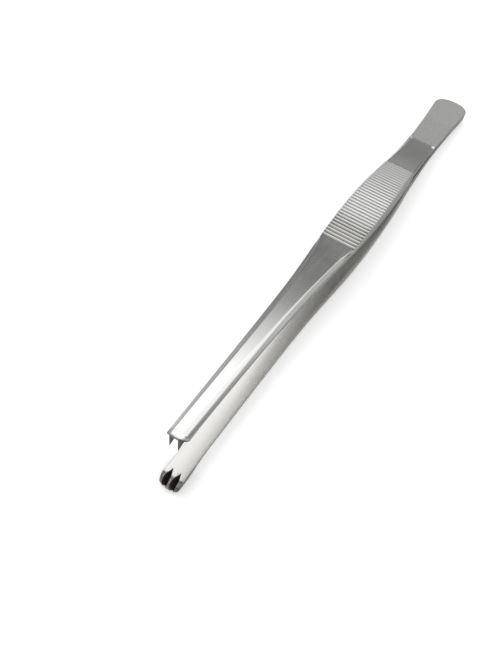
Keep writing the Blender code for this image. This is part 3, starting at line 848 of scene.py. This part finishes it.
def grinding(tree, finish, roughness, grain):
    """Roughness and bump left by a belt: fine lines along the arm over large faint clouds.

    The lines are drawn coarser than the real ones so that they show. Grain scales them.
    """
    smoother = 0.02 * grain
    rougher = 0.03 * grain
    bump_strength = 0.012 * grain
    across = 1 / finish.streak
    along = across / LINE_STRETCH
    spot = add_node(tree, "TexCoord")
    stretched = add_node(tree, "Mapping", {"Scale": (across, along, along)},
                         {"Vector": spot.outputs["Object"]})
    lines = add_node(tree, "TexNoise", {"Scale": 1.0, "Detail": 2.0, "Roughness": 0.5},
                     {"Vector": stretched.outputs["Vector"]})
    clouds = add_node(tree, "TexNoise", {"Scale": 1 / finish.cloud, "Detail": 4.0, "Roughness": 0.55},
                      {"Vector": spot.outputs["Object"]})
    blend = add_node(tree, "Mix", {"Factor": 0.5}, {2: lines.outputs["Fac"], 3: clouds.outputs["Fac"]},
                     data_type="FLOAT")
    rough = add_node(tree, "MapRange", {"From Min": 0.3, "From Max": 0.7, "To Min": roughness - smoother,
                                        "To Max": roughness + rougher}, {"Value": blend.outputs[0]})
    bump = add_node(tree, "Bump", {"Strength": bump_strength, "Distance": 0.02 * MM},
                    {"Height": lines.outputs["Fac"]})
    return rough.outputs["Result"], bump.outputs["Normal"]


def ground_steel(name, finish, base_hex, roughness, grain=1.0):
    """Martensitic stainless steel, belt ground along the arm and then satin finished.

    Faint lines along the arm break up the reflection. The tail is blasted and the grip is
    worn, so they mirror less. The darkening value mixes in a darker colour: dirt and painted
    shade in the grooves, and painted shade on the walls, the ends, the inner face's edges and the nose.
    """
    material, tree = start_material(name)
    ground, normal = grinding(tree, finish, roughness, grain)
    satin = add_node(tree, "Attribute", attribute_name="satin")
    rough = add_node(tree, "Math", {1: finish.blast}, {0: satin.outputs["Fac"], 2: ground},
                     operation="MULTIPLY_ADD")
    film_and_shade = add_node(tree, "Attribute", attribute_name="film_and_shade")
    tone = add_node(tree, "Mix", {"A": (*linear(base_hex), 1), "B": (*linear(finish.film_and_shade), 1)},
                    {"Factor": film_and_shade.outputs["Fac"]}, data_type="RGBA")
    shader = add_node(tree, "BsdfPrincipled", {"Metallic": 1.0},
                      {"Base Color": tone.outputs["Result"], "Roughness": rough.outputs[0],
                       "Normal": normal})
    add_node(tree, "OutputMaterial", links={"Surface": shader.outputs["BSDF"]})
    return material


def filed_steel(finish):
    """Stainless steel filed to a point: duller than the belt ground arms, and darker, partly filed steel
    and partly painted shade.
    """
    material, tree = start_material("filed_tooth_steel_and_shade")
    rough, normal = grinding(tree, finish, finish.tooth_rough, 1.0)
    shader = add_node(tree, "BsdfPrincipled", {"Metallic": 1.0, "Base Color": (*linear(finish.tooth), 1)},
                      {"Roughness": rough, "Normal": normal})
    add_node(tree, "OutputMaterial", links={"Surface": shader.outputs["BSDF"]})
    return material


def slot_steel(finish):
    """Steel inside the slots, dark partly from hardening where no belt reaches and partly from painted
    shade deeper in: fine specks, hardly a mirror.
    """
    material, tree = start_material("hardened_slot_steel_and_shade")
    smooth = 0.35
    rough = 0.6
    spot = add_node(tree, "TexCoord")
    specks = add_node(tree, "TexNoise", {"Scale": 1 / finish.speck, "Detail": 3.0},
                      {"Vector": spot.outputs["Object"]})
    dull = add_node(tree, "MapRange", {"To Min": smooth, "To Max": rough}, {"Value": specks.outputs["Fac"]})
    film_and_shade = add_node(tree, "Attribute", attribute_name="film_and_shade")
    tone = add_node(tree, "Mix", {"A": (*linear(finish.claw), 1), "B": (*linear(finish.slot), 1)},
                    {"Factor": film_and_shade.outputs["Fac"]}, data_type="RGBA")
    shader = add_node(tree, "BsdfPrincipled", {"Metallic": 1.0},
                      {"Base Color": tone.outputs["Result"], "Roughness": dull.outputs["Result"]})
    add_node(tree, "OutputMaterial", links={"Surface": shader.outputs["BSDF"]})
    return material


def arm_form(scene):
    """The arms' form by the scene's settings."""
    return ArmForm(scene.forceps_plan, scene.forceps_profile, scene.forceps_detail)


class FORCEPS_OT_upper_arm(bpy.types.Operator):
    """Build the upper arm's ground surface with its grip and bevels"""

    bl_idname = "forceps.upper_arm"
    bl_label = "Upper arm"

    def execute(self, context):
        form = arm_form(context.scene)
        finish = context.scene.forceps_finish
        points, amount = upper_surface(form)
        satin = satin_share(form, points, finish.grip_satin)
        piece = skin("upper_arm_blade", points, [("film_and_shade", amount), ("satin", satin)])
        steel = ground_steel("satin_ground_steel_upper", finish, finish.steel, finish.upper_rough)
        piece.data.materials.append(steel)
        start = form.place(form.plan.weld_end, 0.0, 0.0)
        end = form.place(form.plan.grip_start - BEND_STOP, 0.0, 0.0)
        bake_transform(piece)
        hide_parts("upper_arm")
        return {"FINISHED"}


class FORCEPS_OT_teeth(bpy.types.Operator):
    """Build the two pointed teeth of the upper arm"""

    bl_idname = "forceps.teeth"
    bl_label = "Teeth"

    def execute(self, context):
        form = arm_form(context.scene)
        steel = filed_steel(context.scene.forceps_finish)
        for number, x in enumerate(tooth_middles(form.detail), 1):
            piece = skin(f"tooth_{number}", tooth_surface(form, x))
            piece.data.materials.append(steel)
            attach(piece, "upper")
        return {"FINISHED"}


class FORCEPS_OT_lower_arm(bpy.types.Operator):
    """Build the lower arm's ground surface with its slotted nose"""

    bl_idname = "forceps.lower_arm"
    bl_label = "Lower arm"

    def execute(self, context):
        form = arm_form(context.scene)
        finish = context.scene.forceps_finish
        points, amount = lower_surface(form)
        satin = satin_share(form, points, 0.0)
        piece = skin("lower_arm_blade", points, [("film_and_shade", amount), ("satin", satin)])
        steel = ground_steel("satin_ground_steel_lower", finish, finish.inner, finish.lower_rough,
                             finish.lower_grain)
        piece.data.materials.append(steel)
        dark = slot_steel(finish)
        for x in tooth_middles(form.detail):
            cut_slot(piece, form, x, dark)
        paint_slot_shade(piece, form)
        piece.data.set_sharp_from_angle(angle=SHARP_ANGLE)
        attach(piece, "lower")
        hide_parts("lower_arm")
        return {"FINISHED"}


def aim(thing, at, target, roll=0.0):
    """Put a lamp or camera at a point, looking at another, and turn it about its own axis."""
    look = (Vector(target) - Vector(at)).normalized()
    turn = look.to_track_quat("-Z", "Y").to_matrix().to_4x4()
    thing.matrix_world = Matrix.Translation(Vector(at)) @ turn @ Matrix.Rotation(roll, 4, "Z")


class FORCEPS_OT_stage(bpy.types.Operator):
    """Set up the white table, the light tent, the lamp and the camera"""

    bl_idname = "forceps.stage"
    bl_label = "Stage"

    def execute(self, context):
        scene = context.scene
        stage = scene.forceps_stage
        self.build_floor(scene, stage)
        self.build_tent(scene, stage)
        self.build_world(scene, stage)
        self.build_lamp(scene, stage)
        self.build_camera(scene, stage)
        scene.view_settings.view_transform = "Standard"
        return {"FINISHED"}

    def build_floor(self, scene, stage):
        """A flat matt white table top that keeps the shadow and reads white to the camera and in glass.

        In the steel it is white beside and left of the forceps, and greyer further off and
        on the right.
        """
        size = stage.table_half
        corners = [(-size, -size, 0), (size, -size, 0), (size, size, 0), (-size, size, 0)]
        mesh = bpy.data.meshes.new("table_top")
        mesh.from_pydata(corners, [], [(0, 1, 2, 3)])
        table = bpy.data.objects.new("table_top", mesh)
        scene.collection.objects.link(table)
        material, tree = start_material("matt_white_table")
        path = add_node(tree, "LightPath")
        spot = add_node(tree, "TexCoord")
        parts = add_node(tree, "SeparateXYZ", links={"Vector": spot.outputs["Object"]})
        aside = add_node(tree, "Math", links={0: parts.outputs["X"]}, operation="ABSOLUTE")
        far = add_node(tree, "MapRange", {"From Min": stage.table_near, "From Max": stage.table_far},
                       {"Value": aside.outputs[0]})
        right = add_node(tree, "MapRange", {"From Min": 0.0, "From Max": stage.table_right},
                         {"Value": parts.outputs["X"]})
        greyer = add_node(tree, "Math", links={0: far.outputs["Result"], 1: right.outputs["Result"]},
                          operation="MAXIMUM")
        mirrored = add_node(tree, "Math", links={0: path.outputs["Is Glossy Ray"], 1: greyer.outputs[0]},
                            operation="MULTIPLY")
        tone = add_node(tree, "Mix", {"A": (*linear(stage.floor), 1), "B": (*linear(stage.far_floor), 1)},
                        {"Factor": mirrored.outputs[0]}, data_type="RGBA")
        near = add_node(tree, "Math", links={0: path.outputs["Is Glossy Ray"], 1: mirrored.outputs[0]},
                        operation="SUBTRACT")
        seen = add_node(tree, "Math", operation="MAXIMUM",
                        links={0: path.outputs["Is Camera Ray"], 1: path.outputs["Is Transmission Ray"]})
        shown = add_node(tree, "Math", {1: stage.table_lift}, {0: seen.outputs[0]}, operation="MULTIPLY")
        lift = add_node(tree, "Math", {1: stage.mirror_lift}, {0: near.outputs[0], 2: shown.outputs[0]},
                        operation="MULTIPLY_ADD")
        paper = add_node(tree, "BsdfDiffuse", links={"Color": tone.outputs["Result"]})
        glow = add_node(tree, "Emission", links={"Strength": lift.outputs[0]})
        both = add_node(tree, "AddShader", links={0: paper.outputs[0], 1: glow.outputs[0]})
        add_node(tree, "OutputMaterial", links={"Surface": both.outputs[0]})
        mesh.materials.append(material)

    def build_tent(self, scene, stage):
        """A half sphere of cloth that only the steel sees: bright front, dimmer sides, dark flag behind.

        Each wall's brightness is given by height, in degrees over the table. Where one wall
        passes into the next is given by the turn from straight behind the tail, in degrees,
        less than 0 on the left.
        """
        radius = stage.tent_radius
        rise = np.radians(np.linspace(0, 90, TENT_RINGS))[:, None]
        turn = np.linspace(0, 2 * np.pi, TENT_SIDES, endpoint=False)
        directions = (np.cos(rise) * np.cos(turn), np.cos(rise) * np.sin(turn), np.sin(rise))
        points = radius * np.stack(np.broadcast_arrays(*directions), axis=-1)
        mesh = bpy.data.meshes.new("light_tent")
        mesh.from_pydata(points.reshape(-1, 3), [], ring_faces(TENT_RINGS, TENT_SIDES))
        mesh.shade_smooth()
        tent = bpy.data.objects.new("light_tent", mesh)
        scene.collection.objects.link(tent)
        for kind in ("camera", "diffuse", "transmission", "volume_scatter", "shadow"):
            setattr(tent, f"visible_{kind}", False)
        material, tree = start_material("tent_cloth")
        spot = add_node(tree, "TexCoord")
        parts = add_node(tree, "SeparateXYZ", links={"Vector": spot.outputs["Object"]})
        level = add_node(tree, "Math", {1: radius}, {0: parts.outputs["Z"]}, operation="DIVIDE")
        angle = add_node(tree, "Math", links={0: level.outputs[0]}, operation="ARCSINE")
        height = add_node(tree, "Math", {1: math.pi / 2}, {0: angle.outputs[0]}, operation="DIVIDE")
        side = add_node(tree, "Math", links={0: parts.outputs["X"], 1: parts.outputs["Y"]},
                        operation="ARCTAN2")

        def wall(bands):
            """A wall's cloth from (degrees of height, brightness) pairs."""
            cloth = add_node(tree, "ValToRGB", links={"Fac": height.outputs[0]})
            ramp(cloth, [(degrees / 90, (value, value, value, 1.0)) for degrees, value in bands])
            return cloth.outputs["Color"]

        def beside(first, second, start, end):
            """The first wall before the start angle, the second past the end angle."""
            edge = {"From Min": math.radians(start), "From Max": math.radians(end)}
            part = add_node(tree, "MapRange", edge, {"Value": side.outputs[0]},
                            interpolation_type="SMOOTHSTEP")
            mix = add_node(tree, "Mix", links={"Factor": part.outputs["Result"], "A": first, "B": second},
                           data_type="RGBA")
            return mix.outputs["Result"]

        left = wall([(0, 0.52), (10, 0.4), (25, 0.5), (45, 1.2), (90, 1.2)])
        flag = wall([(0, 0.35), (6, 0.24), (14, 0.2), (18, 0.42), (20, 0.45), (23, 1.0), (26, 0.6),
                     (28, 0.1), (35, 0.05), (39, 0.42), (42, 0.8), (45, 0.95), (48, 1.45), (51, 1.8),
                     (57, 1.7), (62, 1.5), (90, 1.5)])
        right = wall([(0, 0.2), (8, 0.26), (14, 0.34), (20, 0.42), (27, 0.5), (33, 0.8), (40, 1.4),
                      (90, 1.2)])
        front = wall([(0, 0.9), (10, 1.4), (25, 1.7), (60, 1.6), (90, 1.5)])
        tone = beside(beside(left, flag, -56, -42), right, -5, 6)
        tone = beside(beside(front, tone, -150, -130), front, 130, 150)
        glow = add_node(tree, "Emission", links={"Color": tone})
        add_node(tree, "OutputMaterial", links={"Surface": glow.outputs[0]})
        mesh.materials.append(material)

    def build_world(self, scene, stage):
        """White to the camera, the steel and glass, and an even light for all else."""
        world = bpy.data.worlds.new("studio")
        scene.world = world
        world.use_nodes = True
        tree = world.node_tree
        tree.nodes.clear()
        path = add_node(tree, "LightPath")
        seen = add_node(tree, "Math", operation="MAXIMUM",
                        links={0: path.outputs["Is Camera Ray"], 1: path.outputs["Is Glossy Ray"]})
        white = add_node(tree, "Math", operation="MAXIMUM",
                         links={0: seen.outputs[0], 1: path.outputs["Is Transmission Ray"]})
        strength = add_node(tree, "MapRange", {"To Min": stage.world_light, "To Max": 1.0},
                            {"Value": white.outputs[0]})
        glow = add_node(tree, "Background", {"Color": (1, 1, 1, 1)},
                        {"Strength": strength.outputs["Result"]})
        add_node(tree, "OutputWorld", links={"Surface": glow.outputs[0]})

    def build_lamp(self, scene, stage):
        """A square soft lamp over the left of the forceps, which the steel doesn't mirror."""
        lamp = bpy.data.lights.new("soft_box", "AREA")
        lamp.shape = "SQUARE"
        lamp.size = stage.lamp_size
        lamp.energy = stage.key_light
        lamp_object = bpy.data.objects.new("soft_box", lamp)
        lamp_object.visible_glossy = False
        scene.collection.objects.link(lamp_object)
        aim(lamp_object, stage.lamp_at, (0, 0, 0))

    def build_camera(self, scene, stage):
        """The camera of the photograph."""
        camera = bpy.data.cameras.new("camera")
        camera.lens = stage.focal
        camera.sensor_width = SENSOR_WIDTH
        camera.clip_start = 5 * MM
        camera_object = bpy.data.objects.new("camera", camera)
        scene.collection.objects.link(camera_object)
        aim(camera_object, stage.camera_at, stage.camera_aim, stage.camera_roll)
        scene.camera = camera_object


class FORCEPS_PT_panel(bpy.types.Panel):
    """Lists the pieces of the forceps"""

    bl_idname = "FORCEPS_PT_panel"
    bl_label = "Forceps"
    bl_space_type = "VIEW_3D"
    bl_region_type = "UI"
    bl_category = "Forceps"

    def draw(self, context):
        for step in STEPS:
            self.layout.operator(step.bl_idname)


STEPS = (FORCEPS_OT_upper_arm, FORCEPS_OT_teeth, FORCEPS_OT_lower_arm, FORCEPS_OT_stage)
GROUPS = {
    "forceps_plan": ForcepsPlan,
    "forceps_profile": ForcepsProfile,
    "forceps_detail": ForcepsDetail,
    "forceps_finish": ForcepsFinish,
    "forceps_stage": ForcepsStage,
}


def register():
    """Register the classes and hang each group of settings on the scene."""
    for kind in (*GROUPS.values(), *STEPS, FORCEPS_PT_panel):
        bpy.utils.register_class(kind)
    for name, kind in GROUPS.items():
        setattr(bpy.types.Scene, name, PointerProperty(type=kind))


def unregister():
    """Undo register."""
    for name in GROUPS:
        delattr(bpy.types.Scene, name)
    for kind in reversed((*GROUPS.values(), *STEPS, FORCEPS_PT_panel)):
        bpy.utils.unregister_class(kind)


def main():
    """Build every piece and the stage."""
    register()
    bpy.ops.forceps.upper_arm()
    bpy.ops.forceps.teeth()
    bpy.ops.forceps.lower_arm()
    bpy.ops.forceps.stage()


if __name__ == "__main__":
    main()
